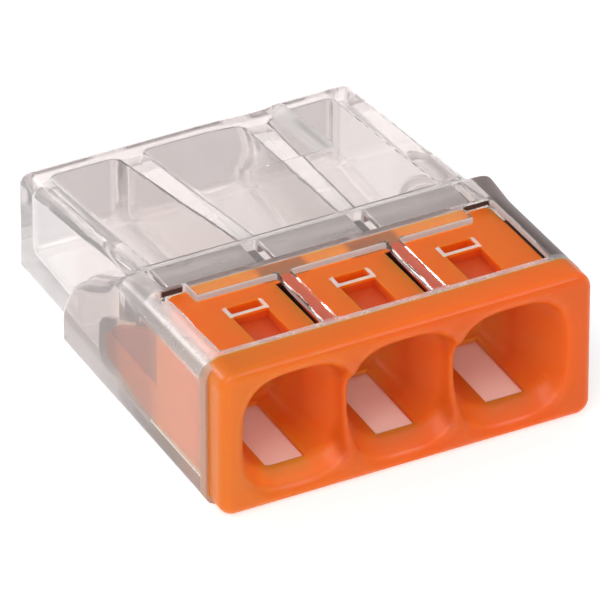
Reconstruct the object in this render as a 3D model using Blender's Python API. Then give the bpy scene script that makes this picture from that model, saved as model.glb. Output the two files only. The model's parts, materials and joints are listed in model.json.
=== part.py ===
"""Three-pole push-in wire connector.

Frame: +X across the poles, -Y is the wire-entry side, +Z is up, the origin is
on the standing face under the middle of the outer box.  Blender units are
metres; the constants below are in millimetres and are scaled by MM.
"""
import math

import bmesh
import bpy
from mathutils import Matrix, Vector

MM = 0.001

# ---- driving dimensions (mm) --------------------------------------------
PITCH = 4.0                 # distance between poles
POLES = (-PITCH, 0.0, PITCH)
Y_FRONT = -8.35             # face of the orange bezel
Y_REAR = 8.35               # back of the clear housing
SLEEVE_W = 14.1             # clear sleeve, overall width
REAR_W = 12.75              # clear rear block, overall width
BEZEL_W = 13.9              # orange bezel, overall width
Y_SLEEVE = -6.95            # front rim of the clear sleeve
Z_BEZEL_FRONT = 5.78        # bezel top at its front edge
Z_BEZEL_BACK = 5.47         # bezel top where it meets the sleeve
Z_SLEEVE_FRONT = 5.58       # sleeve top at the rim
Z_SLEEVE_STEP = 5.32        # sleeve top at the step behind the window
Y_STEP = -1.0               # where the sleeve steps down to the rear block
REAR_RISE = 0.03            # the rear block's underside clears the surface by this
FIT = 0.08                  # clearance between the two mouldings
STRIP = 0.25                # spring strip thickness
HINGE_Y, HINGE_Z = -1.86, 4.27   # middle of each spring's bend
BEND_R = 0.30               # bend radius to the middle of the strip
TONGUE_TIP = (0.92, 1.42)   # middle of the strip at the clamping edge


# ---- scene --------------------------------------------------------------
for ob in list(bpy.data.objects):
    bpy.data.objects.remove(ob, do_unlink=True)

scene = bpy.context.scene
parts = bpy.data.collections.new("push_in_wire_connector")
tools = bpy.data.collections.new("cutters")
scene.collection.children.link(parts)
scene.collection.children.link(tools)


def material(name, color, rough, metal=0.0, alpha=1.0, transmission=0.0, ior=1.45):
    mat = bpy.data.materials.new(name)
    mat.use_nodes = True
    bsdf = mat.node_tree.nodes["Principled BSDF"]
    bsdf.inputs["Base Color"].default_value = (*color, 1.0)
    bsdf.inputs["Roughness"].default_value = rough
    bsdf.inputs["Metallic"].default_value = metal
    bsdf.inputs["IOR"].default_value = ior
    bsdf.inputs["Alpha"].default_value = alpha
    bsdf.inputs["Transmission Weight"].default_value = transmission
    mat.diffuse_color = (*color, alpha)
    return mat


M_CLEAR = material("clear_polycarbonate", (0.90, 0.88, 0.88), 0.05, 0.0, 0.35, 0.9, 1.585)
M_ORANGE = material("orange_polycarbonate", (0.86, 0.24, 0.04), 0.35)
M_TIN = material("tinned_copper", (0.66, 0.65, 0.62), 0.35, 1.0)
M_STEEL = material("spring_steel", (0.56, 0.55, 0.53), 0.28, 1.0)


def add(name, mesh, collection, mat=None, smooth_deg=None):
    ob = bpy.data.objects.new(name, mesh)
    collection.objects.link(ob)
    if mat:
        mesh.materials.clear()
        mesh.materials.append(mat)
    if smooth_deg is not None:
        mesh.shade_smooth()
        mesh.set_sharp_from_angle(angle=math.radians(smooth_deg))
    if collection is tools:
        ob.hide_render = True
        ob.display_type = "WIRE"
    return ob


def bevel_some(bm, test, width, segments):
    """Round the edges for which test(edge) holds.  Width in mm."""
    edges = [e for e in bm.edges if test(e)]
    if edges:
        bmesh.ops.bevel(bm, geom=edges, offset=width * MM, offset_type="OFFSET",
                        segments=segments, profile=0.5, affect="EDGES", clamp_overlap=True)


def mid(edge):
    return (edge.verts[0].co + edge.verts[1].co) / (2 * MM)


def direction(edge):
    return (edge.verts[1].co - edge.verts[0].co).normalized()


def fold(edge):
    """Angle between the two faces of an edge, in degrees."""
    if len(edge.link_faces) != 2:
        return 0.0
    return math.degrees(edge.calc_face_angle(0.0))


def block(name, corner, collection=None, mat=None, rounding=()):
    """A cube primitive whose eight corners go to corner(sx, sy, sz), in mm.
    rounding is a list of (test, width, segments)."""
    bm = bmesh.new()
    bmesh.ops.create_cube(bm, size=2.0)
    for v in bm.verts:
        sx, sy, sz = (1 if c > 0 else -1 for c in v.co)
        v.co = Vector(corner(sx, sy, sz)) * MM
    for test, width, segments in rounding:
        bevel_some(bm, test, width, segments)
    bmesh.ops.recalc_face_normals(bm, faces=bm.faces)
    mesh = bpy.data.meshes.new(name)
    bm.to_mesh(mesh)
    bm.free()
    return add(name, mesh, collection or tools, mat)


def box(name, x, y, z, **kw):
    """A straight block from three (low, high) pairs in mm."""
    return block(name, lambda sx, sy, sz: (x[sx > 0], y[sy > 0], z[sz > 0]), **kw)


def prism(name, points, low, high, axis="X", collection=None, mat=None, rounding=()):
    """A flat outline, filled as a 2D curve, extruded from low to high along
    axis.  For axis X the points are (y, z); for axis Y they are (x, z)."""
    curve = bpy.data.curves.new(name + "_outline", "CURVE")
    curve.dimensions = "2D"
    curve.fill_mode = "BOTH"
    curve.extrude = (high - low) / 2 * MM
    spline = curve.splines.new("POLY")
    spline.points.add(len(points) - 1)
    for point, (a, b) in zip(spline.points, points):
        point.co = (a * MM, b * MM, 0.0, 1.0)
    spline.use_cyclic_u = True
    holder = bpy.data.objects.new(name + "_outline", curve)
    tools.objects.link(holder)
    if axis == "X":      # local x, y, z -> world y, z, x
        turn = Matrix(((0, 0, 1, 0), (1, 0, 0, 0), (0, 1, 0, 0), (0, 0, 0, 1)))
        shift = Matrix.Translation(((low + high) / 2 * MM, 0, 0))
    else:                # local x, y, z -> world x, z, -y
        turn = Matrix(((1, 0, 0, 0), (0, 0, -1, 0), (0, 1, 0, 0), (0, 0, 0, 1)))
        shift = Matrix.Translation((0, (low + high) / 2 * MM, 0))
    holder.matrix_world = shift @ turn
    deps = bpy.context.evaluated_depsgraph_get()
    deps.update()
    mesh = bpy.data.meshes.new_from_object(holder.evaluated_get(deps))
    mesh.transform(holder.matrix_world)
    bpy.data.objects.remove(holder, do_unlink=True)
    bm = bmesh.new()
    bm.from_mesh(mesh)
    bmesh.ops.remove_doubles(bm, verts=bm.verts, dist=1e-7)
    bmesh.ops.dissolve_limit(bm, angle_limit=math.radians(0.5), verts=bm.verts, edges=bm.edges)
    bmesh.ops.recalc_face_normals(bm, faces=bm.faces)
    for test, width, segments in rounding:
        bevel_some(bm, test, width, segments)
    bmesh.ops.recalc_face_normals(bm, faces=bm.faces)
    bm.to_mesh(mesh)
    bm.free()
    mesh.name = name
    return add(name, mesh, collection or tools, mat)


def boolean(ob, other, operation="DIFFERENCE"):
    mod = ob.modifiers.new(operation.lower() + "_" + other.name, "BOOLEAN")
    mod.operation = operation
    mod.solver = "EXACT"
    mod.object = other


def along_x(e):
    return abs(direction(e).x) > 0.9


def along_z(e):
    return abs(direction(e).z) > 0.9


def lengthwise(e):
    return abs(direction(e).x) < 0.1


# ---- clear housing ------------------------------------------------------
def rear_top(y):
    """Height of the rear block's roof at y."""
    pts = ((-1.2, 5.20), (1.6, 5.00), (2.9, 4.70), (8.35, 3.95))
    for (y0, z0), (y1, z1) in zip(pts, pts[1:]):
        if y <= y1:
            return z0 + (z1 - z0) * (y - y0) / (y1 - y0)
    return pts[-1][1]


housing = prism(
    "housing",
    [(-3.0, REAR_RISE), (Y_REAR, REAR_RISE), (Y_REAR, 3.95), (2.9, 4.70), (1.6, 5.00), (-1.2, 5.20), (-3.0, 5.20)],
    -REAR_W / 2, REAR_W / 2, collection=parts, mat=M_CLEAR,
    rounding=[(lambda e: fold(e) > 40 and mid(e).y > -2.9 and mid(e).z > 0.1, 0.45, 3),
              (lambda e: fold(e) > 40 and mid(e).z < REAR_RISE + 0.01 and mid(e).y > -2.9, 0.22, 2)])

sleeve = prism(
    "sleeve_body",
    [(Y_SLEEVE, 0.0), (3.65, 0.0), (3.65, 1.25), (3.38, 1.95), (2.85, 2.72), (2.0, 3.40), (0.9, 3.98),
     (0.0, 4.50), (-0.45, 4.95), (Y_STEP, Z_SLEEVE_STEP), (Y_SLEEVE, Z_SLEEVE_FRONT)],
    -SLEEVE_W / 2, SLEEVE_W / 2,
    rounding=[(lambda e: lengthwise(e) and abs(abs(mid(e).x) - SLEEVE_W / 2) < 0.01
               and not (abs(direction(e).z) > 0.9 and mid(e).y < Y_SLEEVE + 0.01), 0.42, 3),
              (lambda e: along_x(e) and mid(e).y > 3.6 and mid(e).z < 0.1, 0.25, 2)])
boolean(housing, sleeve, "UNION")

# The front bay takes the orange moulding; the contact bay takes the metal.
front_bay = block("front_bay", lambda sx, sy, sz: (
    6.5 * sx, (-7.6, -2.15)[sy > 0],
    0.55 if sz < 0 else (5.345, 5.112)[sy > 0]),
    rounding=[(lambda e: abs(direction(e).y) > 0.9, 0.30, 2)])
contact_bay = box("contact_bay", (-5.95, 5.95), (-2.6, -0.25), (0.5, 4.78),
                  rounding=[(lambda e: along_z(e) and mid(e).y > -1, 0.25, 2)])
boolean(housing, front_bay)
boolean(housing, contact_bay)

# Clear guide rails on the bay floor, lying in the cover's duct floor slots.
for index, xc in enumerate(POLES):
    boolean(housing, box("guide_rail_%d" % (index + 1), (xc - 0.66, xc + 0.66), (-7.33, -3.97), (0.48, 0.93)), "UNION")

# Pockets for the two latch arms, in the thick sides of the sleeve.
for side in (-1, 1):
    name = "arm_pocket_left" if side < 0 else "arm_pocket_right"
    pocket = block(name, lambda sx, sy, sz: (
        (5.80 if sx * side < 0 else 6.5) * side,
        (-2.7, 0.95)[sy > 0],
        (0.58, 0.85)[sy > 0] if sz < 0 else (4.60, 2.85)[sy > 0]),
        rounding=[(lambda e: along_x(e) and mid(e).y > 0, 0.45, 3)])
    boolean(housing, pocket)

# Three chambers for the conductors' ends, with draft to the rear.
CHAMBER_X = (((-5.50, -2.14), (-5.50, -2.78)), ((-1.70, 1.70), (-2.10, 2.10)), ((2.14, 5.50), (2.78, 5.50)))
for index, (front_x, rear_x) in enumerate(CHAMBER_X):
    chamber = block("chamber_%d" % (index + 1), lambda sx, sy, sz: (
        (rear_x if sy > 0 else front_x)[sx > 0],
        (-0.7, 7.75)[sy > 0],
        (0.62, 1.00)[sy > 0] if sz < 0 else (4.70, 3.52)[sy > 0]),
        rounding=[(lambda e: mid(e).y > -0.6, 0.28, 3)])
    boolean(housing, chamber)

# Window over the entry cover: three cells with a rib between each two, and
# an extra notch in both rear corners.
window = (("window_1", (-6.18, -2.30), (-6.68, -3.22)), ("window_2", (-1.80, 1.80), (-6.68, -3.22)),
          ("window_3", (2.30, 6.18), (-6.68, -3.22)), ("window_notch_left", (-6.18, -5.30), (-3.6, -2.42)),
          ("window_notch_right", (5.10, 6.18), (-3.6, -2.42)))
for name, xs, ys in window:
    boolean(housing, box(name, xs, ys, (4.6, 6.4), rounding=[(along_z, 0.10, 1)]))

# Shallow pocket in the rear edge of the roof, over one partition.
gate = prism("gate_recess", [(0.30, 0.02), (2.2, -0.26), (3.42, -0.26), (3.60, 0.02), (3.60, 0.9), (0.30, 0.9)],
             4.05, 9.0, axis="Y")
for v in gate.data.vertices:
    v.co.z += (rear_top(8.35) + (8.35 - v.co.y / MM) * (4.70 - 3.95) / (8.35 - 2.9)) * MM
boolean(housing, gate)

# ---- orange entry cover -------------------------------------------------
entry_cover = block("entry_cover", lambda sx, sy, sz: (
    BEZEL_W / 2 * sx, (Y_FRONT, Y_SLEEVE - 0.05)[sy > 0],
    0.0 if sz < 0 else (Z_BEZEL_FRONT, Z_BEZEL_BACK)[sy > 0]),
    collection=parts, mat=M_ORANGE,
    rounding=[(lambda e: not (mid(e).y > Y_SLEEVE - 0.06 and abs(direction(e).y) < 0.5), 0.55, 4)])

cover_body = block("cover_body", lambda sx, sy, sz: (
    (6.5 - FIT) * sx, (-7.5, -3.35)[sy > 0],
    0.63 if sz < 0 else (5.29, 5.105)[sy > 0]),
    rounding=[(lambda e: mid(e).y > -7.4, 0.20, 2)])
cover_back = block("cover_back", lambda sx, sy, sz: (
    6.0 * sx, (-3.9, -2.36)[sy > 0], 0.63 if sz < 0 else (5.075, 5.01)[sy > 0]),
    rounding=[(lambda e: along_z(e) and mid(e).y > -3.8, 0.30, 3), (lambda e: along_x(e) and mid(e).y > -3.8 and mid(e).z < 1, 0.16, 2)])
boolean(entry_cover, cover_body, "UNION")
boolean(entry_cover, cover_back, "UNION")

ARM = [(-3.7, 0.70), (-1.8, 0.72), (-0.55, 1.12), (0.30, 1.18), (0.58, 1.38), (0.66, 1.80), (0.60, 2.18),
       (0.34, 2.46), (-0.05, 2.68), (-1.5, 3.45), (-3.1, 4.25), (-3.7, 4.25)]
for side in (-1, 1):
    label = "left" if side < 0 else "right"
    lo, hi = sorted((5.92 * side, 6.40 * side))
    boolean(entry_cover, prism("latch_arm_" + label, ARM, lo, hi), "UNION")
    lo, hi = sorted((6.28 * side, 7.2 * side))
    boolean(entry_cover, box("arm_relief_" + label, (lo, hi), (-3.22, 1.2), (2.10, 4.7)))


def funnel_section(y):
    """Half width, centre height, half height and squareness of the entry
    funnel at y, from the mouth to the wire duct."""
    table = ((-8.75, 2.40, 2.74, 2.62, 3.0), (-8.40, 2.22, 2.74, 2.40, 3.0), (-8.30, 2.16, 2.74, 2.32, 3.0),
             (-8.18, 2.09, 2.75, 2.25, 3.0), (-8.00, 2.02, 2.77, 2.17, 3.1), (-7.75, 1.95, 2.81, 2.05, 3.2),
             (-7.45, 1.87, 2.86, 1.88, 3.4), (-6.60, 1.64, 2.66, 1.68, 3.8), (-5.60, 1.42, 2.44, 1.46, 4.2),
             (-4.60, 1.36, 2.38, 1.40, 4.2), (-3.75, 1.32, 2.36, 1.36, 4.2), (-3.30, 1.02, 2.32, 1.04, 4.2),
             (-2.10, 1.00, 2.32, 1.02, 4.2))
    return table if y is None else None


def funnel(name, xc, count):
    """Loft through superellipse sections along the wire's way in."""
    bm = bmesh.new()
    rings = []
    for y, a, zc, b, n in funnel_section(None):
        ring = []
        for i in range(count):
            t = 2 * math.pi * (i + 0.5) / count
            c, s = math.cos(t), math.sin(t)
            ring.append(bm.verts.new(Vector((
                xc + a * math.copysign(abs(c) ** (2 / n), c), y,
                zc + b * math.copysign(abs(s) ** (2 / n), s))) * MM))
        rings.append(ring)
    for first, second in zip(rings, rings[1:]):
        for i in range(count):
            j = (i + 1) % count
            bm.faces.new((first[i], first[j], second[j], second[i]))
    bm.faces.new(list(reversed(rings[0])))
    bm.faces.new(rings[-1])
    bmesh.ops.recalc_face_normals(bm, faces=bm.faces)
    mesh = bpy.data.meshes.new(name)
    bm.to_mesh(mesh)
    bm.free()
    return add(name, mesh, tools)


for index, xc in enumerate(POLES):
    tag = "_%d" % (index + 1)
    boolean(entry_cover, funnel("funnel" + tag, xc, 36))
    boolean(entry_cover, box("duct_floor_slot" + tag, (xc - 0.72, xc + 0.72), (-7.40, -3.90), (0.4, 1.6)))
    boolean(entry_cover, box("test_slot_rim" + tag, (xc - 0.73, xc + 0.73), (-4.58, -3.94), (5.0, 5.185),
                             rounding=[(along_z, 0.16, 2)]), "UNION")
    boolean(entry_cover, box("top_channel" + tag, (xc - 0.66, xc + 0.66), (-6.90, -4.60), (4.80, 6.0)))
    boolean(entry_cover, box("test_slot" + tag, (xc - 0.60, xc + 0.60), (-4.43, -3.94), (3.2, 6.0)))
# Narrow grooves beside the window's ribs.
for tag, lo, hi in (("_1", -2.46, -2.32), ("_2", 1.64, 1.78)):
    boolean(entry_cover, box("rib_groove" + tag, (lo, hi), (-6.62, -3.36), (4.55, 6.0)))

# ---- busbar: one bar with a finger under each clamping edge -------------
BAR_Z = (0.72, 1.22)
busbar = box("busbar", (-5.90, 5.90), (-2.28, -0.45), BAR_Z, collection=parts, mat=M_TIN,
             rounding=[(lambda e: along_x(e), 0.08, 2)])
for index, xc in enumerate(POLES):
    boolean(busbar, box("bar_finger_%d" % (index + 1), (xc - 1.30, xc + 1.30), (-0.9, 1.35), (0.74, 1.20),
                        rounding=[(lambda e: along_z(e) and mid(e).y > 0, 0.30, 3)]), "UNION")
# Upright cheeks of the bar, one each side of every spring.
for index, (lo, hi) in enumerate(((-5.90, -5.73), (-2.14, -1.86), (1.86, 2.14), (5.73, 5.90))):
    boolean(busbar, box("bar_cheek_%d" % (index + 1), (lo, hi), (-2.10, -0.62), (0.90, 4.40)), "UNION")


# ---- clamping springs ---------------------------------------------------
def offset_strip(path, half):
    """Closed outline of a strip of the given half thickness along path."""
    left, right = [], []
    for i, (y, z) in enumerate(path):
        a = path[max(i - 1, 0)]
        b = path[min(i + 1, len(path) - 1)]
        d = Vector((b[0] - a[0], b[1] - a[1])).normalized()
        left.append((y - d.y * half, z + d.x * half))
        right.append((y + d.y * half, z - d.x * half))
    return left + right[::-1]


def arc(cy, cz, r, start, stop, steps):
    return [(cy + r * math.cos(math.radians(start + (stop - start) * i / steps)),
             cz + r * math.sin(math.radians(start + (stop - start) * i / steps))) for i in range(steps + 1)]


# Fixed leg: a lip at the back, the flat under the roof, and the first half of the bend.
seat_path = [(-0.55, 4.10), (-0.55, 4.42)] + arc(-0.70, 4.42, 0.15, 0, 90, 3)
seat_path += arc(HINGE_Y, HINGE_Z, BEND_R, 90, 172, 5)
# Tongue: the second half of the bend, the straight leg and the turned-up clamping edge.
reach = Vector((TONGUE_TIP[0] - HINGE_Y, TONGUE_TIP[1] - HINGE_Z))
lean = math.degrees(math.atan2(reach.y, reach.x))
leave = lean - 90 + math.degrees(math.asin(BEND_R / reach.length))
tongue_path = arc(HINGE_Y, HINGE_Z, BEND_R, 186, 360 + leave, 6) + [TONGUE_TIP]
tongue_path = tongue_path[:-1] + [tuple(Vector(tongue_path[-2]).lerp(Vector(TONGUE_TIP), 0.5)), TONGUE_TIP]

for index, xc in enumerate(POLES):
    tag = "_%d" % (index + 1)
    seat = prism("spring_seat" + tag, offset_strip(seat_path, STRIP / 2), xc - 1.68, xc + 1.68,
                 collection=parts, mat=M_STEEL)
    tongue = prism("spring_tongue" + tag, offset_strip(tongue_path, STRIP / 2), xc - 1.25, xc + 1.25,
                   collection=parts, mat=M_STEEL)
    # The tongue's origin lies on its bending axis.
    pivot = Vector((xc, HINGE_Y, HINGE_Z)) * MM
    tongue.data.transform(Matrix.Translation(-pivot))
    tongue.location = pivot

for ob in parts.objects:
    ob.data.shade_smooth()
    ob.data.set_sharp_from_angle(angle=math.radians(35))
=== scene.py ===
import json
import math

import bmesh
import bpy
import numpy as np
from mathutils import Matrix, Vector


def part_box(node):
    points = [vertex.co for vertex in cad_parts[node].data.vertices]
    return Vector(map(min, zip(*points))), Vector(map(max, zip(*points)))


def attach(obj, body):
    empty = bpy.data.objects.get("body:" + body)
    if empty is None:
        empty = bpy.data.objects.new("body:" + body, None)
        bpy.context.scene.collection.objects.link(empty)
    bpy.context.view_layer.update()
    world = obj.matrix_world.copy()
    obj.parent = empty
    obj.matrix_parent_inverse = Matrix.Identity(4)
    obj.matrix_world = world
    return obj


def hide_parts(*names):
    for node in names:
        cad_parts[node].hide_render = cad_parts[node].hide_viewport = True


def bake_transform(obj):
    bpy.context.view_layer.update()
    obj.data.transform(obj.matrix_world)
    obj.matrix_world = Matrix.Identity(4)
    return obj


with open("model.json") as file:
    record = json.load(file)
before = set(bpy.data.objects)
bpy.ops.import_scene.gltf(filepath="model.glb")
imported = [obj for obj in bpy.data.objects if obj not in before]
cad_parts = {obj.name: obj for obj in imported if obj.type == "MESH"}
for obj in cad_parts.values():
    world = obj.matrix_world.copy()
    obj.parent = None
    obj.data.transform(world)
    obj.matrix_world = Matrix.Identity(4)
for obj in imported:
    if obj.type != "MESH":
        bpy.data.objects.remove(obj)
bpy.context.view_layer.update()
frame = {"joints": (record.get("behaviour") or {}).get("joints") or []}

MM = 0.001

# --------------------------------------------------------------------------
# Sizes, in mm.  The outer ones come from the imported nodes' own boxes.
# --------------------------------------------------------------------------
H_LO, H_HI = (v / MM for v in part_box("housing"))
C_LO, C_HI = (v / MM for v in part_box("entry_cover"))
B_LO, B_HI = (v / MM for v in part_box("busbar"))
HINGES = {}
for _joint in frame["joints"]:
    HINGES[_joint["child"]] = Vector(_joint["pos_m"]) / MM
POLES = [HINGES["clamp_%d" % i].x for i in (1, 2, 3)]
HINGE_Y, HINGE_Z = HINGES["clamp_2"].y, HINGES["clamp_2"].z

SLEEVE_X = H_HI.x             # half width of the clear sleeve
REAR_X = 6.375                # half width of the clear rear block
Y_REAR = H_HI.y
Y_RIM = H_LO.y                # front rim of the clear sleeve
Y_FACE = C_LO.y               # face of the orange bezel
BEZEL_X = C_HI.x
Z_BEZEL = C_HI.z


# --------------------------------------------------------------------------
# Distance-field modelling: rounded unions, cuts and intersections of solids,
# each given by a signed distance in mm (negative inside).
# --------------------------------------------------------------------------
def isect(a, b, r=0.0):
    if np.ndim(r) == 0 and r <= 0:
        return np.maximum(a, b)
    return np.minimum(-r, np.maximum(a, b)) + np.hypot(np.maximum(a + r, 0), np.maximum(b + r, 0))


def join(a, b, r=0.0):
    if r <= 0:
        return np.minimum(a, b)
    return np.maximum(r, np.minimum(a, b)) - np.hypot(np.maximum(r - a, 0), np.maximum(r - b, 0))


def span(v, lo, hi):
    return np.maximum(lo - v, v - hi)


def line(u, v, a, b):
    """Signed distance to the line from a to b: negative on its right side."""
    ux, uy = b[0] - a[0], b[1] - a[1]
    n = math.hypot(ux, uy)
    return ((v - a[1]) * ux - (u - a[0]) * uy) / n


def brick(x, y, z, xs, ys, zs, r=0.0):
    """A block with all its edges and corners rounded by r."""
    cx, cy, cz = sum(xs) / 2, sum(ys) / 2, sum(zs) / 2
    qx = np.abs(x - cx) - ((xs[1] - xs[0]) / 2 - r)
    qy = np.abs(y - cy) - ((ys[1] - ys[0]) / 2 - r)
    qz = np.abs(z - cz) - ((zs[1] - zs[0]) / 2 - r)
    out = np.sqrt(np.maximum(qx, 0) ** 2 + np.maximum(qy, 0) ** 2 + np.maximum(qz, 0) ** 2)
    return out + np.minimum(np.maximum(np.maximum(qx, qy), qz), 0) - r


def outline(u, v, pts):
    """Signed distance to a closed outline in the plane."""
    best, inside = None, None
    for (ax, ay), (bx, by) in zip(pts, pts[1:] + pts[:1]):
        ex, ey = bx - ax, by - ay
        wx, wy = u - ax, v - ay
        t = np.clip((wx * ex + wy * ey) / (ex * ex + ey * ey), 0, 1)
        d = (wx - ex * t) ** 2 + (wy - ey * t) ** 2
        up, down, left = v >= ay, v < by, ex * wy > ey * wx
        turn = (up & down & left) | (~up & ~down & ~left)
        best = d if best is None else np.minimum(best, d)
        inside = turn if inside is None else inside ^ turn
    return np.sqrt(best) * np.where(inside, -1.0, 1.0)


def spline(pts, steps):
    """Points on a Catmull-Rom curve through pts."""
    pts = [np.array(p, float) for p in pts]
    pts = [2 * pts[0] - pts[1]] + pts + [2 * pts[-1] - pts[-2]]
    out = []
    for a, b, c, d in zip(pts, pts[1:], pts[2:], pts[3:]):
        for k in range(steps):
            t = k / steps
            out.append(tuple(0.5 * ((2 * b) + (c - a) * t + (2 * a - 5 * b + 4 * c - d) * t * t
                                    + (3 * b - a - 3 * c + d) * t ** 3)))
    out.append(tuple(pts[-2]))
    return out


def contour(name, field, low, high, step):
    """Meshes the surface field = 0 by dual contouring: one vertex in each
    grid cell that the surface crosses, placed where the tangent planes of its
    crossings meet, so that flat faces stay flat and edges stay crisp.  Flat
    areas are then merged, and each corner gets the field's own normal."""
    low = np.array(low, float) - 1.53 * step
    counts = [int(math.ceil((high[i] - low[i]) / step + 1.6)) for i in range(3)]
    axes = [low[i] + step * np.arange(counts[i]) for i in range(3)]
    value = np.ascontiguousarray(np.broadcast_to(
        field(axes[0][:, None, None], axes[1][None, :, None], axes[2][None, None, :]), counts)).astype(float)
    inside = value < 0
    points, quads_at = [], []
    shape = np.array(counts)
    stride = np.array([counts[1] * counts[2], counts[2], 1])
    for a in range(3):
        b, c = (a + 1) % 3, (a + 2) % 3
        first = [slice(None)] * 3
        second = [slice(None)] * 3
        first[a], second[a] = slice(0, -1), slice(1, None)
        at = np.argwhere(inside[tuple(first)] != inside[tuple(second)])
        ia = at.copy()
        ia[:, a] += 1
        v0 = value[at[:, 0], at[:, 1], at[:, 2]]
        v1 = value[ia[:, 0], ia[:, 1], ia[:, 2]]
        t0, t1 = np.zeros(len(at)), np.ones(len(at))
        sign0 = v0 < 0
        for _ in range(3):
            t = t0 + (t1 - t0) * np.clip(v0 / (v0 - v1), 0.02, 0.98)
            p = low + step * at
            p[:, a] += step * t
            v = field(p[:, 0], p[:, 1], p[:, 2])
            same = (v < 0) == sign0
            t0, v0 = np.where(same, t, t0), np.where(same, v, v0)
            t1, v1 = np.where(same, t1, t), np.where(same, v1, v)
        t = t0 + (t1 - t0) * np.clip(v0 / np.where(v0 == v1, 1e-12, v0 - v1), 0, 1)
        p = low + step * at
        p[:, a] += step * t
        points.append(p)
        near = at @ stride
        quad = np.stack([near - stride[b] - stride[c], near - stride[c], near, near - stride[b]], 1)
        quad[~sign0] = quad[~sign0][:, ::-1]
        quads_at.append(quad)
    points, quads = np.concatenate(points), np.concatenate(quads_at)

    def slope(p):
        k = np.array([(1, -1, -1), (-1, -1, 1), (-1, 1, -1), (1, 1, 1)], float)
        g = 0
        for q in k:
            w = p + q * 2e-5
            g = g + q * field(w[:, 0], w[:, 1], w[:, 2])[:, None]
        return g / np.maximum(np.linalg.norm(g, axis=1), 1e-12)[:, None]

    normal = slope(points)
    keys, inverse = np.unique(quads, return_inverse=True)
    inverse = inverse.reshape(quads.shape)
    cell = inverse.ravel()
    src = np.repeat(np.arange(len(points)), 4)
    n = len(keys)
    cnt = np.bincount(cell, minlength=n).astype(float)

    def total(w):
        return np.bincount(cell, weights=w[src], minlength=n)

    mean = np.stack([total(points[:, i]) for i in range(3)], 1) / cnt[:, None]
    plane = (normal * points).sum(1)
    ata = np.empty((n, 3, 3))
    for i in range(3):
        for j in range(i, 3):
            ata[:, i, j] = ata[:, j, i] = total(normal[:, i] * normal[:, j])
    atb = np.stack([total(normal[:, i] * plane) for i in range(3)], 1)
    atb -= np.einsum("nij,nj->ni", ata, mean)
    ata += (0.012 * cnt)[:, None, None] * np.eye(3)
    co = mean + np.linalg.solve(ata, atb[:, :, None])[:, :, 0]
    corner = low + step * np.stack([keys // stride[0], (keys // stride[1]) % shape[1], keys % shape[2]], 1)
    co = np.clip(co, corner, corner + step)

    mesh = bpy.data.meshes.new(name)
    mesh.vertices.add(n)
    mesh.vertices.foreach_set("co", (co * MM).astype(np.float32).ravel())
    mesh.loops.add(quads.size)
    mesh.loops.foreach_set("vertex_index", inverse.ravel().astype(np.int32))
    mesh.polygons.add(len(quads))
    mesh.polygons.foreach_set("loop_start", np.arange(0, quads.size, 4, dtype=np.int32))
    mesh.polygons.foreach_set("loop_total", np.full(len(quads), 4, np.int32))
    mesh.update(calc_edges=True)
    mesh.validate()
    rough = bpy.data.objects.new(name + "_rough", mesh)
    bpy.context.scene.collection.objects.link(rough)
    thin = rough.modifiers.new("flats", "DECIMATE")
    thin.decimate_type = "DISSOLVE"
    thin.angle_limit = math.radians(0.35)
    deps = bpy.context.evaluated_depsgraph_get()
    done = bpy.data.meshes.new_from_object(rough.evaluated_get(deps))
    bpy.data.objects.remove(rough)
    bpy.data.meshes.remove(mesh)
    done.name = name

    count = len(done.vertices)
    co = np.empty(count * 3, np.float32)
    done.vertices.foreach_get("co", co)
    co = co.reshape(-1, 3).astype(float) / MM
    grad = slope(co)
    loops = len(done.loops)
    vi = np.empty(loops, np.int32)
    done.loops.foreach_get("vertex_index", vi)
    face_n = np.empty(len(done.polygons) * 3, np.float32)
    done.polygons.foreach_get("normal", face_n)
    totals = np.empty(len(done.polygons), np.int32)
    done.polygons.foreach_get("loop_total", totals)
    fn = np.repeat(face_n.reshape(-1, 3), totals, axis=0)
    ln = grad[vi]
    along = (ln * fn).sum(1)
    area = np.empty(len(done.polygons), np.float32)
    done.polygons.foreach_get("area", area)
    wide = np.repeat(area > 3.0 * (step * MM) ** 2, totals)
    off = (along < math.cos(math.radians(32))) | (wide & (along < math.cos(math.radians(1.5))))
    ln[off] = fn[off]
    done.shade_smooth()
    done.normals_split_custom_set(ln.tolist())
    print("%s: %d cells, %d vertices, %d faces" % (name, n, count, len(done.polygons)))
    ob = bpy.data.objects.new(name, done)
    bpy.context.scene.collection.objects.link(ob)
    return ob


# --------------------------------------------------------------------------
# Clear housing
# --------------------------------------------------------------------------
SHOULDER = spline([(3.65, 0.55), (3.65, 1.25), (3.38, 1.95), (2.85, 2.72), (2.0, 3.40), (0.9, 3.98),
                   (0.0, 4.50), (-0.45, 4.95), (-1.0, 5.32)], 3)
SLEEVE = [(-8.5, -1.0)] + [(3.65, -1.0)] + SHOULDER + [(-8.5, 5.648)]


def roof(y, z, drop=0.0):
    """Distance to the rear block's roof, two shallow creases across it."""
    a = line(y, z, (-1.2, 5.20 - drop), (1.6, 5.00 - drop))
    b = line(y, z, (1.6, 5.00 - drop), (2.9, 4.70 - drop))
    c = line(y, z, (2.9, 4.70 - drop), (8.35, 3.95 - drop))
    return isect(a, np.minimum(b, c), 0.5)


def chamber(x, y, z, index):
    front = ((-5.50, -2.12), (-1.62, 1.62), (2.12, 5.50))[index]
    rear = ((-5.50, -2.80), (-1.98, 1.98), (2.80, 5.50))[index]
    left = line(y, x, (-0.7, front[0]), (7.75, rear[0]))
    right = line(y, x, (-0.7, front[1]), (7.75, rear[1]))
    sides = np.maximum(-left, right)
    floor = -line(y, z, (-0.7, 0.62), (7.75, 1.00))
    ends = span(y, -0.9, 7.75)
    plan = isect(sides, ends, 0.42)
    return isect(isect(plan, roof(y, z, 0.50), 0.16), floor, 0.28)


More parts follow.
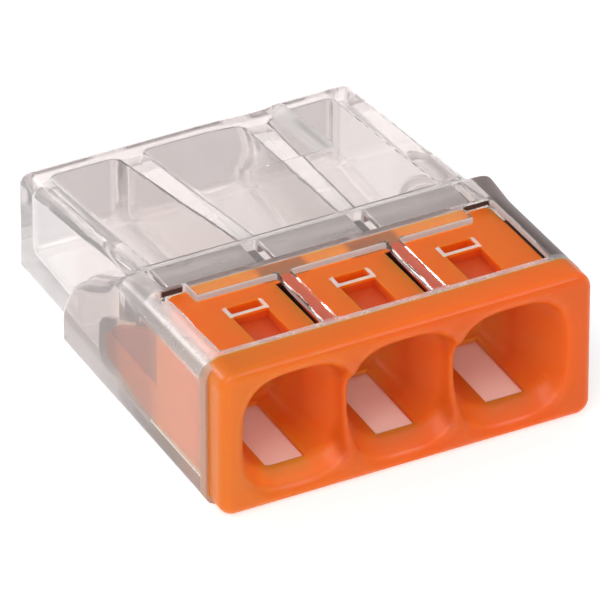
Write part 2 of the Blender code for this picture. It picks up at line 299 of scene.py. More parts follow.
def housing_field(x, y, z):
    ax = np.abs(x)
    # outer skins
    sleeve = outline(y, z, SLEEVE)
    sleeve = isect(sleeve, -z, 0.25)
    sleeve = isect(sleeve, ax - SLEEVE_X, 0.42 + 0.36 * np.clip((-0.9 - y) / 1.5, 0, 1) * (z > 2.8))
    sleeve = isect(sleeve, Y_RIM - y, 0.0)
    rear = isect(roof(y, z), y - Y_REAR, 0.45)
    rear = isect(rear, 0.03 - z, 0.22)
    rear = isect(rear, ax - REAR_X, 0.45)
    rear = np.maximum(rear, -3.0 - y)
    d = join(sleeve, rear, 0.12)
    # bays for the cover and the metal
    bay_top = line(y, z, (-7.6, 5.345), (-2.15, 5.112))
    bay = isect(isect(bay_top, 0.55 - z, 0.3), ax - 6.5, 0.3)
    bay = isect(bay, y + 2.15, 0.0)
    contact = brick(x, y, z, (-5.95, 5.95), (-3.4, -0.25), (0.5, 4.78), 0.14)
    pocket = outline(y, z, [(-2.9, 0.57), (0.45, 0.74), (0.82, 0.98), (0.95, 1.45), (0.92, 2.35), (0.62, 2.78),
                            (-1.45, 3.82), (-2.9, 4.62)])
    pocket = np.maximum(pocket, span(ax, 5.80, 6.5))
    void = np.minimum(np.minimum(bay, contact), pocket)
    for index in range(3):
        void = np.minimum(void, chamber(x, y, z, index))
    d = np.maximum(d, -void)
    # guide rails in the cover's duct floor
    pole = np.minimum(np.abs(x), np.abs(ax - 4.14))
    rail = isect(isect(pole - 0.70, span(y, -7.33, -3.97), 0.05), span(z, 0.48, 0.93), 0.05)
    d = np.minimum(d, rail)
    # window cells over the cover, with a rib between each two
    cells = None
    for xs in ((-6.18, -2.30), (-1.80, 1.80), (2.30, 6.18)):
        c = np.maximum(isect(span(x, *xs), span(y, -6.68, -3.22), 0.14), 4.0 - z)
        cells = c if cells is None else np.minimum(cells, c)
    notch_l = np.maximum(isect(span(x, -6.42, -5.30), span(y, -2.98, -2.40), 0.10), 4.0 - z)
    notch_l = np.minimum(notch_l, np.maximum(isect(span(x, -6.18, -5.30), span(y, -3.7, -2.60), 0.14), 4.0 - z))
    notch_r = np.maximum(isect(span(x, 5.10, 6.18), span(y, -3.7, -2.42), 0.14), 4.0 - z)
    cells = np.minimum(cells, np.minimum(notch_l, notch_r))
    d = isect(d, -cells, 0.06)
    # shallow pocket in the rear edge of the roof
    top = roof(y, z)
    gate = isect(isect(-line(x, top, (0.30, 0.02), (2.2, -0.22)), -0.22 - top, 0.05),
                 -line(x, top, (3.20, -0.22), (3.58, 0.02)), 0.10)
    gate = np.maximum(gate, 4.05 - y)
    return isect(d, -gate, 0.05)


# --------------------------------------------------------------------------
# Orange entry cover
# --------------------------------------------------------------------------
FUNNEL = ((-9.2, 2.62, 2.74, 2.86, 3.0), (-8.75, 2.40, 2.74, 2.62, 3.0), (-8.40, 2.22, 2.74, 2.42, 3.0),
          (-8.18, 2.11, 2.75, 2.27, 3.0), (-8.00, 2.03, 2.77, 2.18, 3.1), (-7.75, 1.95, 2.81, 2.05, 3.2),
          (-7.45, 1.87, 2.86, 1.88, 3.4), (-6.60, 1.64, 2.66, 1.68, 3.8), (-5.60, 1.42, 2.44, 1.46, 4.2),
          (-4.60, 1.36, 2.38, 1.40, 4.2), (-3.75, 1.32, 2.36, 1.36, 4.2), (-3.30, 1.02, 2.32, 1.04, 4.2),
          (-2.10, 1.00, 2.32, 1.02, 4.2))
_fine = np.linspace(-9.2, -2.1, 240)


def _smooth(column):
    raw = np.interp(_fine, [f[0] for f in FUNNEL], [f[column] for f in FUNNEL])
    soft = np.convolve(np.pad(raw, 6, mode="edge"), np.ones(13) / 13, mode="valid")
    blend = np.clip((_fine + 4.2) / 0.3, 0, 1)
    return soft * (1 - blend) + raw * blend


FUNNEL_A, FUNNEL_Z, FUNNEL_B, FUNNEL_N = (_smooth(k) for k in (1, 2, 3, 4))


def funnel(x, y, z, xc):
    a, zc, b, n = (np.interp(y, _fine, t) for t in (FUNNEL_A, FUNNEL_Z, FUNNEL_B, FUNNEL_N))
    u, v = np.abs(x - xc) / a, np.abs(z - zc) / b
    r = (u ** n + v ** n + 1e-9) ** (1 / n)
    return np.maximum((r - 1) * np.minimum(a, b), y + 2.10)


ARM = [(-3.7, 0.70), (-1.8, 0.72), (-0.55, 1.12), (0.30, 1.18), (0.52, 1.30), (0.63, 1.52), (0.66, 1.80),
       (0.60, 2.18), (0.48, 2.36), (0.30, 2.49), (-0.05, 2.68), (-1.5, 3.45), (-3.1, 4.25), (-3.7, 4.25)]


GROOVES = ((-2.43, -2.23), (1.67, 1.87))      # beside the window's ribs


def cover_field(x, y, z):
    ax = np.abs(x)
    # bezel
    top = line(y, z, (Y_FACE, Z_BEZEL), (-7.0, 5.60))
    ring = np.maximum(isect(top, ax - BEZEL_X, 0.66), isect(-z, ax - BEZEL_X, 0.55))
    bezel = isect(ring, Y_FACE - y, 0.36)
    bezel = isect(bezel, y + 7.0, 0.03)
    # body inside the sleeve
    body_top = line(y, z, (-7.5, 5.29), (-3.35, 5.105))
    body = isect(isect(body_top, 0.63 - z, 0.22), ax - 6.42, 0.22)
    body = isect(body, y + 3.35, 0.18)
    body = np.maximum(body, -7.5 - y)
    back = isect(isect(ax - 6.14, y + 2.36, np.where(x < 0, 0.50, 0.26)), line(y, z, (-3.9, 5.13), (-2.36, 5.062)), 0.05)
    back = np.maximum(np.maximum(back, 0.63 - z), -3.9 - y)
    d = np.minimum(np.minimum(bezel, body), back)
    # latch arms
    arm = isect(outline(y, z, ARM), span(ax, 5.92, 6.40), 0.0)
    d = np.minimum(d, arm)
    relief = np.maximum(np.maximum(6.22 - ax, span(y, -3.22, 1.2)), 2.10 - z)
    d = np.maximum(d, -np.maximum(relief, z - 4.7))
    # wire entries
    holes = None
    for xc in POLES:
        f = funnel(x, y, z, xc)
        holes = f if holes is None else join(holes, f, 0.30)
    d = isect(d, -holes, 0.26)
    # slots: duct floor, top channel, test slot and its rim
    for xc in POLES:
        u = np.abs(x - xc)
        floor = np.maximum(np.maximum(np.abs(x - xc * 1.035) - 0.75, span(y, -7.40, -3.90)), span(z, 0.2, 1.6))
        chan = isect(isect(u - 0.66, span(y, -6.90, -4.60), 0.0), 4.80 - z, 0.0)
        slot = isect(isect(u - 0.60, span(y, -4.43, -3.94), 0.10), 3.2 - z, 0.0)
        rim = isect(isect(u - 0.73, span(y, -4.58, -3.94), 0.16), z - 5.185, 0.03)
        d = np.minimum(d, np.maximum(rim, 5.0 - z))
        d = np.maximum(d, -np.minimum(np.minimum(floor, chan), slot))
    for lo, hi in GROOVES:
        d = np.maximum(d, -np.maximum(np.maximum(span(x, lo, hi), span(y, -6.62, -3.36)), 4.55 - z))
    return d


# --------------------------------------------------------------------------
# Materials
# --------------------------------------------------------------------------
def new_material(name):
    mat = bpy.data.materials.new(name)
    mat.use_nodes = True
    nt = mat.node_tree
    return mat, nt, nt.nodes["Principled BSDF"]


def node(nt, kind, **values):
    n = nt.nodes.new(kind)
    for key, value in values.items():
        if hasattr(n, key):
            setattr(n, key, value)
        else:
            n.inputs[key].default_value = value
    return n


def noise(nt, coords, scale, detail=3.0, rough=0.55, stretch=(1, 1, 1)):
    mapping = node(nt, "ShaderNodeMapping")
    mapping.inputs["Scale"].default_value = stretch
    nt.links.new(coords, mapping.inputs["Vector"])
    n = node(nt, "ShaderNodeTexNoise")
    n.inputs["Scale"].default_value = scale
    n.inputs["Detail"].default_value = detail
    n.inputs["Roughness"].default_value = rough
    nt.links.new(mapping.outputs["Vector"], n.inputs["Vector"])
    return n.outputs["Fac"]


def remap(nt, value, lo, hi, to_lo, to_hi):
    n = node(nt, "ShaderNodeMapRange")
    nt.links.new(value, n.inputs["Value"])
    n.inputs["From Min"].default_value = lo
    n.inputs["From Max"].default_value = hi
    n.inputs["To Min"].default_value = to_lo
    n.inputs["To Max"].default_value = to_hi
    return n.outputs["Result"]


def mix_color(nt, fac, a, b):
    n = node(nt, "ShaderNodeMix")
    n.data_type = "RGBA"
    if isinstance(fac, float):
        n.inputs["Factor"].default_value = fac
    else:
        nt.links.new(fac, n.inputs["Factor"])
    for key, value in (("A", a), ("B", b)):
        sock = [s for s in n.inputs if s.name == key and s.type == "RGBA"][0]
        if isinstance(value, tuple):
            sock.default_value = (*value, 1.0)
        else:
            nt.links.new(value, sock)
    return [s for s in n.outputs if s.type == "RGBA"][0]


def bump(nt, bsdf, height, strength, distance):
    n = node(nt, "ShaderNodeBump")
    n.inputs["Strength"].default_value = strength
    n.inputs["Distance"].default_value = distance
    nt.links.new(height, n.inputs["Height"])
    nt.links.new(n.outputs["Normal"], bsdf.inputs["Normal"])
    return n


def math_node(nt, op, a, b=None):
    n = node(nt, "ShaderNodeMath", operation=op)
    for i, v in enumerate((a, b)):
        if v is None:
            continue
        if isinstance(v, (int, float)):
            n.inputs[i].default_value = v
        else:
            nt.links.new(v, n.inputs[i])
    return n.outputs[0]


def axes_of(nt, vector):
    n = node(nt, "ShaderNodeSeparateXYZ")
    nt.links.new(vector, n.inputs[0])
    return n.outputs


def within(nt, value, lo, hi, soft=0.02):
    """1 where value lies between lo and hi (mm), with soft ends."""
    up = remap(nt, value, (lo - soft) * MM, (lo + soft) * MM, 0.0, 1.0)
    down = remap(nt, value, (hi - soft) * MM, (hi + soft) * MM, 1.0, 0.0)
    return math_node(nt, "MULTIPLY", up, down)


def product(nt, *values):
    out = values[0]
    for v in values[1:]:
        out = math_node(nt, "MULTIPLY", out, v)
    return out


def off_pole(nt, x):
    """Distance in x from the nearest wire entry's middle."""
    n = math_node(nt, "FLOORED_MODULO", math_node(nt, "ADD", x, 2 * MM), 4 * MM)
    return math_node(nt, "ABSOLUTE", math_node(nt, "SUBTRACT", n, 2 * MM))


def mix_value(nt, fac, a, b):
    n = node(nt, "ShaderNodeMix")
    nt.links.new(fac, n.inputs[0])
    for i, v in ((2, a), (3, b)):
        if isinstance(v, (int, float)):
            n.inputs[i].default_value = v
        else:
            nt.links.new(v, n.inputs[i])
    return n.outputs[0]


def let_lamps_through(nt, bsdf, tint):
    """Light reaches what is behind the clear wall, a little dimmed."""
    mix = node(nt, "ShaderNodeMixShader")
    path = node(nt, "ShaderNodeLightPath")
    thin = node(nt, "ShaderNodeBsdfTransparent")
    thin.inputs["Color"].default_value = (*tint, 1.0)
    out = [n for n in nt.nodes if n.type == "OUTPUT_MATERIAL"][0]
    nt.links.new(path.outputs["Is Shadow Ray"], mix.inputs[0])
    nt.links.new(bsdf.outputs[0], mix.inputs[1])
    nt.links.new(thin.outputs[0], mix.inputs[2])
    nt.links.new(mix.outputs[0], out.inputs["Surface"])


def clear_plastic():
    mat, nt, bsdf = new_material("clear_polycarbonate_moulded")
    coords = node(nt, "ShaderNodeTexCoord").outputs["Object"]
    bsdf.inputs["IOR"].default_value = 1.585
    bsdf.inputs["Transmission Weight"].default_value = 1.0
    cloud = noise(nt, coords, 260.0, 3.0)
    tint = mix_color(nt, remap(nt, cloud, 0.3, 0.7, 0.0, 1.0), (0.940, 0.905, 0.897), (0.910, 0.872, 0.864))
    haze = noise(nt, coords, 900.0, 4.0)
    gloss = remap(nt, haze, 0.3, 0.75, 0.03, 0.075)
    # Matt edges: the front rim and bar, and the wall behind the window.
    x, y, z = axes_of(nt, coords)
    facing = axes_of(nt, node(nt, "ShaderNodeNewGeometry").outputs["Normal"])
    front = within(nt, y, -8.0, -6.925, 0.01)
    bar = product(nt, within(nt, y, -6.93, -6.64), within(nt, z, 5.2, 6.0), remap(nt, haze, 0.35, 0.65, 0.15, 0.65))
    gate = product(nt, within(nt, x, 3.05, 3.65), within(nt, y, 4.0, 8.0), within(nt, z, 3.4, 5.0))
    bar = math_node(nt, "MAXIMUM", bar, math_node(nt, "MULTIPLY", gate, 0.7))
    sill = product(nt, within(nt, y, -3.30, -3.12), within(nt, z, 4.95, 5.43, 0.01),
                   remap(nt, facing[1], -0.6, -0.4, 1.0, 0.0))
    rail = product(nt, within(nt, off_pole(nt, x), -1.0, 0.90), within(nt, y, -7.4, -3.9), within(nt, z, 0.4, 1.0))
    matt = math_node(nt, "MAXIMUM", math_node(nt, "SUBTRACT", front, rail), math_node(nt, "MAXIMUM", sill, bar))
    lens = product(nt, within(nt, y, -6.62, -2.2), within(nt, z, 4.95, 5.6), within(nt, x, -5.9, 5.9))
    base = product(nt, within(nt, z, -1.0, 1.15, 0.1), within(nt, y, -0.85, 9.0))
    base = math_node(nt, "MAXIMUM", base, within(nt, z, -1.0, 0.09))
    matt = math_node(nt, "MAXIMUM", matt, math_node(nt, "MULTIPLY", base, 0.5))
    # The sleeve's upper left edge is slightly frosted, and painted lighter as a highlight.
    shoulder = product(nt, within(nt, x, -9.0, -6.22, 0.05), within(nt, z, 4.75, 6.0, 0.1), within(nt, y, -6.93, -0.9, 0.1))
    matt = math_node(nt, "MAXIMUM", matt, math_node(nt, "MULTIPLY", shoulder, 0.55))
    notch = product(nt, within(nt, x, -6.3, -5.24), within(nt, z, 4.95, 5.43, 0.01))
    notch = product(nt, notch, within(nt, x, -5.40, -5.24), within(nt, y, -3.4, -2.3))
    jamb = product(nt, within(nt, x, 6.10, 6.26), within(nt, y, -6.72, -2.45), within(nt, z, 4.95, 5.5, 0.01),
                   remap(nt, facing[0], -0.6, -0.4, 1.0, 0.0))
    matt = math_node(nt, "MAXIMUM", matt, math_node(nt, "MAXIMUM", notch, jamb))
    # Painted shade: near black where the window's rear corners look into the metal's bay, letting almost no light
    # through.
    corner = product(nt, within(nt, math_node(nt, "ABSOLUTE", x), 5.05, 6.50), within(nt, y, -2.50, -2.30), within(nt, z, 4.90, 5.335, 0.01),
                     remap(nt, facing[1], -0.6, -0.4, 1.0, 0.0))
    # Painted dark shade along the sleeve's upper right edge, letting less light through.
    strip = product(nt, within(nt, x, 6.22, 9.0, 0.04), within(nt, y, -6.93, 0.2, 0.1), within(nt, z, 4.75, 6.0, 0.15))
    # Painted shade: the side walls greyer and darker.
    thick = math_node(nt, "MAXIMUM", within(nt, x, -9.0, -6.42, 0.1), within(nt, x, 6.42, 9.0, 0.1))
    thick = product(nt, thick, within(nt, y, -9.0, 3.5, 0.3))
    tint = mix_color(nt, thick, tint, (0.62, 0.56, 0.55))
    # Painted shade on the rear face.
    tint = mix_color(nt, within(nt, y, 7.72, 9.0), tint, (0.60, 0.555, 0.555))
    # Painted grey shade round the latch arms' pockets.
    ax = math_node(nt, "ABSOLUTE", x)
    pocket = product(nt, within(nt, ax, 5.83, 6.47, 0.01), within(nt, y, -2.95, 1.02), within(nt, z, 0.5, 3.9))
    tint = mix_color(nt, pocket, tint, (0.34, 0.31, 0.305))
    # Painted orange light on the side walls beside the cover, darker orange-brown further back as shade.
    beside = product(nt, within(nt, math_node(nt, "ABSOLUTE", x), 6.42, 9.0, 0.05), within(nt, y, -6.93, -3.2, 0.3), within(nt, z, 0.5, 4.7, 0.1))
    tint = mix_color(nt, beside, tint, (0.80, 0.63, 0.46))
    shank = product(nt, within(nt, ax, 6.42, 9.0, 0.05), within(nt, y, -3.2, -0.4, 0.3), within(nt, z, 0.9, 4.4, 0.1))
    tint = mix_color(nt, shank, tint, (0.66, 0.50, 0.42))
    # Painted grey shade on the side walls behind the latch arms.
    heel = product(nt, within(nt, math_node(nt, "ABSOLUTE", x), 6.42, 9.0, 0.05), within(nt, y, -0.6, 3.6, 0.3))
    tint = mix_color(nt, heel, tint, (0.45, 0.385, 0.375))
    # Painted light: the rear left wall a cooler, neutral white.
    flank = product(nt, within(nt, x, -6.6, -6.2), within(nt, y, 3.7, 9.0, 0.2), within(nt, z, 0.3, 3.9, 0.2))
    tint = mix_color(nt, flank, tint, (0.87, 0.875, 0.885))
    tint = mix_color(nt, strip, tint, (0.17, 0.125, 0.12))
    tint = mix_color(nt, corner, tint, (0.030, 0.032, 0.032))
    tint = mix_color(nt, shoulder, tint, (0.97, 0.87, 0.84))
    # Frosted parts take a pale grey, the front rim face a painted darker orange-brown shade.
    tint = mix_color(nt, matt, tint, mix_color(nt, front, (0.84, 0.80, 0.79), (0.56, 0.38, 0.27)))
    # Painted pink light on the guide rails, as light coming up through the clear floor; they let less light through.
    tint = mix_color(nt, rail, tint, (0.99, 0.66, 0.58))
    nt.links.new(tint, bsdf.inputs["Base Color"])
    nt.links.new(mix_value(nt, math_node(nt, "MAXIMUM", math_node(nt, "MAXIMUM", matt, rail), strip), gloss, 0.45), bsdf.inputs["Roughness"])
    clear = mix_value(nt, lens, 0.94, 1.0)
    clear = mix_value(nt, matt, clear, 0.50)
    clear = mix_value(nt, pocket, clear, 0.55)
    clear = mix_value(nt, strip, clear, 0.60)
    clear = mix_value(nt, corner, clear, 0.02)
    nt.links.new(mix_value(nt, rail, clear, 0.25), bsdf.inputs["Transmission Weight"])
    flow = noise(nt, coords, 420.0, 2.0, 0.4, (1.0, 0.45, 1.0))
    bump(nt, bsdf, flow, 0.10, 0.00001)
    let_lamps_through(nt, bsdf, (0.90, 0.885, 0.88))
    return mat


def orange_plastic():
    mat, nt, bsdf = new_material("orange_polycarbonate_moulded")
    coords = node(nt, "ShaderNodeTexCoord").outputs["Object"]
    bsdf.inputs["IOR"].default_value = 1.55
    cloud = noise(nt, coords, 330.0, 3.0)
    tint = mix_color(nt, remap(nt, cloud, 0.32, 0.68, 0.0, 1.0), (0.82, 0.150, 0.009), (0.80, 0.162, 0.011))
    x, y, z = axes_of(nt, coords)
    u = off_pole(nt, x)
    facing = axes_of(nt, node(nt, "ShaderNodeNewGeometry").outputs["Normal"])
    # Painted shade: the bezel's front face darker than its other sides.
    face = product(nt, remap(nt, y, -0.0073, -0.0070, 1.0, 0.0), remap(nt, facing[1], -0.95, -0.35, 1.0, 0.0))
    tint = mix_color(nt, face, tint, (0.64, 0.112, 0.006))
    # Thinner and lit from behind towards the bezel's left end.
    glow = product(nt, remap(nt, x, -0.0068, 0.0010, 1.0, 0.0), remap(nt, y, -0.0070, -0.0068, 1.0, 0.0))
    tint = mix_color(nt, glow, tint, (0.64, 0.170, 0.010))
    # Painted light inside the wire entries: lighter and yellower deeper in, brighter towards the left.
    inner = product(nt, within(nt, x, -6.25, 6.25, 0.1), within(nt, y, -8.1, -2.0, 0.15), within(nt, z, 0.5, 4.72, 0.08))
    entry_light = mix_color(nt, remap(nt, y, -0.0076, -0.0060, 0.0, 1.0), (0.74, 0.150, 0.018), (0.80, 0.175, 0.030))
    entry_light = mix_color(nt, remap(nt, y, -0.0056, -0.0042, 0.0, 1.0), entry_light, (1.0, 0.35, 0.08))
    entry_light = mix_color(nt, remap(nt, x, -0.0016, -0.0034, 0.0, 0.6), entry_light, (0.95, 0.25, 0.03))
    tint = mix_color(nt, inner, tint, entry_light)
    # Painted shade on the webs between the wire entries.
    web = math_node(nt, "MAXIMUM", within(nt, x, -2.42, -1.70, 0.1), within(nt, x, 1.58, 2.30, 0.1))
    web = product(nt, web, within(nt, y, -9.0, -7.3, 0.2), within(nt, z, 0.8, 4.9, 0.2))
    tint = mix_color(nt, web, tint, (0.60, 0.112, 0.008))
    # Painted light: the cover's sides under the sleeve's walls lighter and yellower.
    side = math_node(nt, "MAXIMUM", within(nt, x, -6.6, -6.1), within(nt, x, 6.1, 6.6))
    side = product(nt, side, within(nt, y, -6.97, 1.5), within(nt, z, 0.2, 4.9))
    tint = mix_color(nt, side, tint, (0.84, 0.190, 0.001))
    # Painted shade in the reliefs beside the latch arms.
    relief = product(nt, math_node(nt, "MAXIMUM", within(nt, x, -6.27, -6.1), within(nt, x, 6.1, 6.27)),
                     within(nt, y, -3.23, 1.5), within(nt, z, 2.05, 4.9))
    tint = mix_color(nt, relief, tint, (0.46, 0.075, 0.018))
    # Painted shade under the window's ribs.
    under = math_node(nt, "MAXIMUM", within(nt, x, -2.28, -1.82), within(nt, x, 1.82, 2.28))
    under = product(nt, under, within(nt, y, -6.7, -3.2), within(nt, z, 5.0, 5.4))
    tint = mix_color(nt, under, tint, (0.62, 0.075, 0.012))
    # Painted light on the rear lip, as lit from both sides, and painted shade where the partitions meet it.
    lip = product(nt, within(nt, y, -3.19, -2.0), within(nt, z, 4.90, 5.30), within(nt, x, -5.32, 5.12))
    lit = math_node(nt, "MAXIMUM", within(nt, x, -5.3, -2.75, 0.12), within(nt, x, -1.0, 0.6, 0.12))
    lit = math_node(nt, "MAXIMUM", lit, within(nt, x, 2.45, 6.3, 0.12))
    tint = mix_color(nt, lip, tint, mix_color(nt, lit, (0.36, 0.135, 0.03), (0.93, 0.270, 0.004)))
    # Painted pale highlight along three sides of the test slots' rims.
    edge = math_node(nt, "MAXIMUM", within(nt, u, 0.60, 0.80, 0.01), within(nt, y, -4.62, -4.42, 0.01))
    edge = product(nt, edge, within(nt, u, -1.0, 0.735, 0.01), within(nt, y, -4.585, -3.92, 0.01), within(nt, z, 5.13, 5.3, 0.01))
    tint = mix_color(nt, edge, tint, (0.92, 0.60, 0.56))
    # Painted shade: deeper red in the channels, near black in the grooves.
    sunk = product(nt, within(nt, u, -1.0, 0.67), within(nt, y, -7.0, -4.59), within(nt, z, 4.7, 5.08))
    tint = mix_color(nt, sunk, tint, (0.66, 0.085, 0.018))
    gap = math_node(nt, "MAXIMUM", *[within(nt, x, lo - 0.01, hi + 0.01, 0.005) for lo, hi in GROOVES])
    gap = product(nt, gap, within(nt, y, -6.64, -3.34), within(nt, z, 4.4, 5.09, 0.03))
    tint = mix_color(nt, gap, tint, (0.03, 0.012, 0.010))
    # Painted dark shade line along the right window's jamb.
    line_r = product(nt, within(nt, x, 6.125, 6.6, 0.01), within(nt, y, -6.72, -2.3), within(nt, z, 5.0, 5.35, 0.01))
    tint = mix_color(nt, line_r, tint, (0.04, 0.02, 0.015))
    nt.links.new(tint, bsdf.inputs["Base Color"])
    grain = noise(nt, coords, 5200.0, 3.0)
    nt.links.new(remap(nt, grain, 0.3, 0.7, 0.29, 0.38), bsdf.inputs["Roughness"])
    bsdf.inputs["Specular IOR Level"].default_value = 0.24
    bsdf.inputs["Subsurface Weight"].default_value = 0.9
    bsdf.inputs["Subsurface Radius"].default_value = (1.0, 0.28, 0.06)
    bsdf.inputs["Subsurface Scale"].default_value = 0.0018
    bump(nt, bsdf, grain, 0.10, 0.000003)
    return mat


def rolled_metal(name, bright, dark, rough_lo, rough_hi, stretch, shade_above=None):
    mat, nt, bsdf = new_material(name)
    coords = node(nt, "ShaderNodeTexCoord").outputs["Object"]
    bsdf.inputs["Metallic"].default_value = 1.0
    grain = noise(nt, coords, 2600.0, 5.0, 0.65, stretch)
    patch = noise(nt, coords, 500.0, 3.0)
    both = node(nt, "ShaderNodeMath", operation="MULTIPLY")
    nt.links.new(grain, both.inputs[0])
    nt.links.new(patch, both.inputs[1])
    tint = mix_color(nt, remap(nt, both.outputs[0], 0.12, 0.40, 0.0, 1.0), dark, bright)
    # Painted shade: dark above this height, as on the busbar's upright cheeks.
    if shade_above is not None:
        tint = mix_color(nt, within(nt, axes_of(nt, coords)[2], shade_above, 9.0, 0.3), tint, (0.17, 0.155, 0.15))
    nt.links.new(tint, bsdf.inputs["Base Color"])
    nt.links.new(remap(nt, grain, 0.25, 0.75, rough_lo, rough_hi), bsdf.inputs["Roughness"])
    bump(nt, bsdf, grain, 0.35, 0.000012)
    return mat


M_CLEAR = clear_plastic()
M_ORANGE = orange_plastic()
M_TIN = rolled_metal("tinned_copper_rolled", (0.80, 0.78, 0.76), (0.58, 0.56, 0.54), 0.28, 0.48, (1.0, 0.12, 0.12),
                     shade_above=1.9)
M_STEEL = rolled_metal("spring_steel_rolled", (0.84, 0.81, 0.80), (0.62, 0.59, 0.58), 0.22, 0.42, (0.12, 1.0, 1.0))


# --------------------------------------------------------------------------
# Pieces
# --------------------------------------------------------------------------
STEP_H = 0.0937
STEP_C = 0.0837

housing = contour("clear_housing", housing_field, H_LO, H_HI, STEP_H)
housing.data.materials.append(M_CLEAR)
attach(housing, "root")
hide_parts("housing")

cover = contour("orange_entry_cover", cover_field, C_LO, C_HI, STEP_C)
cover.data.materials.append(M_ORANGE)
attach(cover, "root")
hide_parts("entry_cover")


BAR_TOP = 1.22


def bar_field(x, y, z):
    bar = brick(x, y, z, (B_LO.x, B_HI.x), (B_LO.y, -0.45), (B_LO.z, BAR_TOP), 0.07)
    d = bar
    for xc in POLES:
        tip = isect(span(x - xc, -1.30, 1.30), y - B_HI.y, 0.32)
        tip = isect(np.maximum(tip, -0.9 - y), span(z, B_LO.z + 0.02, BAR_TOP - 0.02), 0.07)
        d = join(d, tip, 0.10)
    # Upright cheeks between the springs; the tin material paints them dark above 1.9 mm as shade.
    for lo, hi in ((-5.90, -5.73), (-2.14, -1.86), (1.86, 2.14), (5.73, 5.90)):
        cheek = isect(isect(span(y, -2.10, -0.62), z - B_HI.z, 0.25), span(x, lo, hi), 0.05)
        d = join(d, np.maximum(cheek, 0.9 - z), 0.06)
    return d


busbar = contour("tinned_busbar", bar_field, B_LO, B_HI, 0.061)
busbar.data.materials.append(M_TIN)
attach(busbar, "root")
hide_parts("busbar")


# Each clamping spring is one bent strip of steel: a short lip, the flat leg
# under the roof, the bend, and the leg whose edge presses on the busbar.
BEND_R, STRIP, TIP = 0.30, 0.25, (0.92, 1.42)


def arc(cy, cz, r, start, stop, steps):
    return [(cy + r * math.cos(math.radians(start + (stop - start) * i / steps)),
             cz + r * math.sin(math.radians(start + (stop - start) * i / steps))) for i in range(steps + 1)]


def spring_path():
    reach = Vector((TIP[0] - HINGE_Y, TIP[1] - HINGE_Z))
    lean = math.degrees(math.atan2(reach.y, reach.x))
    leave = lean - 90 + math.degrees(math.asin(BEND_R / reach.length))
    path = [(-0.55, 4.10), (-0.55, 4.26)] + arc(-0.70, 4.42, 0.15, 0, 90, 8)
    path += [(-0.98, 4.57), (-1.27, 4.57), (-1.56, 4.57)]
    bend = arc(HINGE_Y, HINGE_Z, BEND_R, 90, 360 + leave, 26)
    path += bend
    a = Vector(bend[-1])
    path += [tuple(a.lerp(Vector(TIP), k / 8)) for k in range(1, 9)]
    return path, leave


def strip_mesh(name, path, width, thick, edge):
    """A rounded-edge strip swept along a path in the YZ plane; width(i) is its half width at station i."""
    verts, faces = [], []
    ring = 0
    for i, (py, pz) in enumerate(path):
        a, b = path[max(i - 1, 0)], path[min(i + 1, len(path) - 1)]
        t = Vector((b[0] - a[0], b[1] - a[1])).normalized()
        n = Vector((-t.y, t.x))
        w, h = width(i), thick / 2
        loop = []
        for sx, sn, start in ((1, 1, 0), (-1, 1, 90), (-1, -1, 180), (1, -1, 270)):
            for k in range(4):
                ang = math.radians(start + 30 * k)
                loop.append((sx * (w - edge) + edge * math.cos(ang), sn * (h - edge) + edge * math.sin(ang)))
        ring = len(loop)
        shrink = 0.0
        for u, v in loop:
            verts.append(((u) * MM, (py + n.x * v) * MM, (pz + n.y * v) * MM))
    for i in range(len(path) - 1):
        for k in range(ring):
            j = (k + 1) % ring
            faces.append((i * ring + k, i * ring + j, (i + 1) * ring + j, (i + 1) * ring + k))
    faces.append(tuple(reversed(range(ring))))
    faces.append(tuple(range((len(path) - 1) * ring, len(path) * ring)))
    mesh = bpy.data.meshes.new(name)
    mesh.from_pydata(verts, [], faces)
    mesh.update()
    return mesh


def strip_width(path):
    def width(i):
        y, z = path[i]
        if i < 14:
            return 1.68
        a = math.atan2(z - HINGE_Z, y - HINGE_Y)
        turned = (math.degrees(a) - 90) % 360
        if i < 14 + 26:
            k = min(max((turned - 40) / 90, 0), 1)
            return 1.68 + (1.25 - 1.68) * k * k * (3 - 2 * k)
        return 1.25
    return width


path, leave = spring_path()
for index, xc in enumerate(POLES):
    n = str(index + 1)
    mesh = strip_mesh("clamp_spring_" + n, path, strip_width(path), STRIP, 0.055)
    bm = bmesh.new()
    bm.from_mesh(mesh)
    bmesh.ops.recalc_face_normals(bm, faces=bm.faces)
    ends = [f for f in bm.faces if len(f.verts) > 4]
    rim = list({e for f in ends for e in f.edges})
    bmesh.ops.bevel(bm, geom=rim, offset=0.035 * MM, offset_type="OFFSET", segments=2, profile=0.5, affect="EDGES")
    bm.to_mesh(mesh)
    bm.free()
    mesh.transform(Matrix.Translation((xc * MM, 0, 0)))
    mesh.shade_smooth()
    mesh.set_sharp_from_angle(angle=math.radians(40))
    spring = bpy.data.objects.new("clamp_spring_" + n, mesh)
    bpy.context.scene.collection.objects.link(spring)
    mesh.materials.append(M_STEEL)
    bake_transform(spring)
    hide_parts("spring_seat_" + n, "spring_tongue_" + n)

# --------------------------------------------------------------------------
# Floor, light, camera
# --------------------------------------------------------------------------
def plane(name, half, z, mat):
    mesh = bpy.data.meshes.new(name)
    mesh.from_pydata([(-half, -half, z), (half, -half, z), (half, half, z), (-half, half, z)], [], [(0, 1, 2, 3)])
    ob = bpy.data.objects.new(name, mesh)
    bpy.context.scene.collection.objects.link(ob)
    mesh.materials.append(mat)
    return ob


floor_mat, nt, bsdf = new_material("floor_paper")
bsdf.inputs["Base Color"].default_value = (0.58, 0.58, 0.58, 1)
bsdf.inputs["Roughness"].default_value = 0.9
bsdf.inputs["Emission Color"].default_value = (1, 1, 1, 1)
bsdf.inputs["Emission Strength"].default_value = 0.58
plane("floor", 1.2, -0.00003, floor_mat)


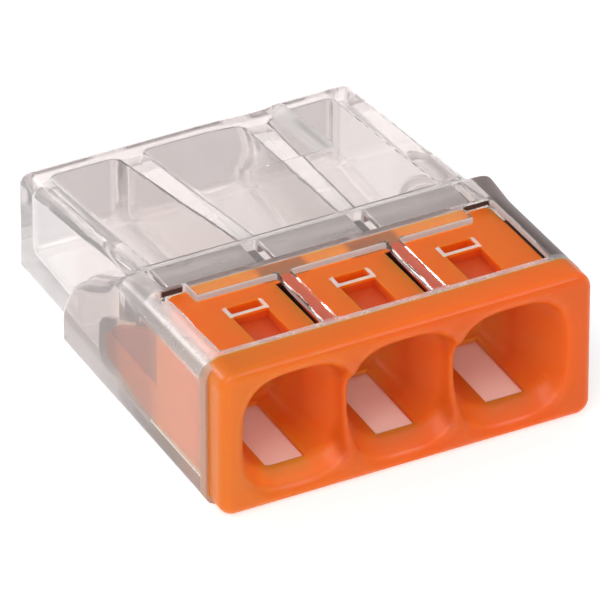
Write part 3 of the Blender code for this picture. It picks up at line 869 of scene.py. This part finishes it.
def area_light(name, place, aim, size, power, color=(1, 1, 1)):
    data = bpy.data.lights.new(name, "AREA")
    data.shape = "RECTANGLE"
    data.size, data.size_y = size
    data.energy = power
    data.color = color
    ob = bpy.data.objects.new(name, data)
    ob.location = place
    ob.rotation_mode = "QUATERNION"
    ob.rotation_quaternion = (Vector(aim) - Vector(place)).to_track_quat("-Z", "Y")
    bpy.context.scene.collection.objects.link(ob)
    return ob


area_light("key", (-0.09, -0.10, 0.17), (0, 0, 0.003), (0.10, 0.10), 0.145)
area_light("fill", (-0.09, -0.23, 0.05), (0, 0, 0.003), (0.14, 0.08), 0.08)
# Two small lamps that only make highlights on the bezel's upper edge and corner.
for lamp in (area_light("ridge", (0.095, -0.14, 0.184), (0, -0.008, 0.003), (0.02, 0.02), 0.10),
             area_light("corner", (-0.184, -0.095, 0.139), (0, -0.008, 0.003), (0.03, 0.03), 0.10)):
    lamp.visible_diffuse = False
area_light("edge", (-0.12, 0.155, 0.085), (0, 0, 0.003), (0.07, 0.05), 0.10)

world = bpy.data.worlds.new("studio")
bpy.context.scene.world = world
world.use_nodes = True
wt = world.node_tree
background = wt.nodes["Background"]
direction = wt.nodes.new("ShaderNodeTexCoord").outputs["Generated"]
split = wt.nodes.new("ShaderNodeSeparateXYZ")
wt.links.new(direction, split.inputs[0])
bands = wt.nodes.new("ShaderNodeValToRGB")
bands.color_ramp.elements[0].position, bands.color_ramp.elements[0].color = 0.0, (0.80, 0.79, 0.785, 1)
bands.color_ramp.elements[1].position, bands.color_ramp.elements[1].color = 1.0, (1.0, 1.0, 1.0, 1)
for at, c in ((0.10, 0.80), (0.30, 0.88), (0.55, 1.0)):
    e = bands.color_ramp.elements.new(at)
    e.color = (c, c * 0.995, c * 0.99, 1)
wt.links.new(split.outputs["Z"], bands.inputs[0])
# A grey flag where the flat tops mirror the sky.
dot = wt.nodes.new("ShaderNodeVectorMath")
dot.operation = "DOT_PRODUCT"
wt.links.new(direction, dot.inputs[0])
dot.inputs[1].default_value = (0.379, 0.737, 0.559)
sky = mix_color(wt, remap(wt, dot.outputs["Value"], 0.90, 0.975, 0.0, 1.0), bands.outputs["Color"], (0.60, 0.575, 0.57))
wt.links.new(sky, background.inputs["Color"])
background.inputs["Strength"].default_value = 0.66

# The view: 27 degrees round to the left, 34 degrees above the horizon.
AZ, EL, FOCAL, DIST, TX, TY = -27.19, 34.02, 11021.67, 373.46, -5.96, 42.03
az, el = math.radians(AZ), math.radians(EL)
back = Vector((math.sin(az) * math.cos(el), -math.cos(az) * math.cos(el), math.sin(el)))
right = Vector((math.cos(az), math.sin(az), 0))
up = back.cross(right)
aim = (-back * FOCAL - right * TX + up * TY).normalized()
cam_data = bpy.data.cameras.new("camera")
cam = bpy.data.objects.new("camera", cam_data)
bpy.context.scene.collection.objects.link(cam)
cam_data.sensor_width = 36.0
cam_data.lens = 36.0 * math.hypot(FOCAL, TX, TY) / 600
cam_data.clip_start, cam_data.clip_end = 0.02, 20.0
cam.location = back * DIST * MM
z_axis = -aim
x_axis = (right - z_axis * right.dot(z_axis)).normalized()
y_axis = z_axis.cross(x_axis)
cam.matrix_world = Matrix.Translation(back * DIST * MM) @ Matrix((x_axis, y_axis, z_axis)).transposed().to_4x4()
bpy.context.scene.camera = cam

bpy.context.scene.view_settings.view_transform = "Standard"
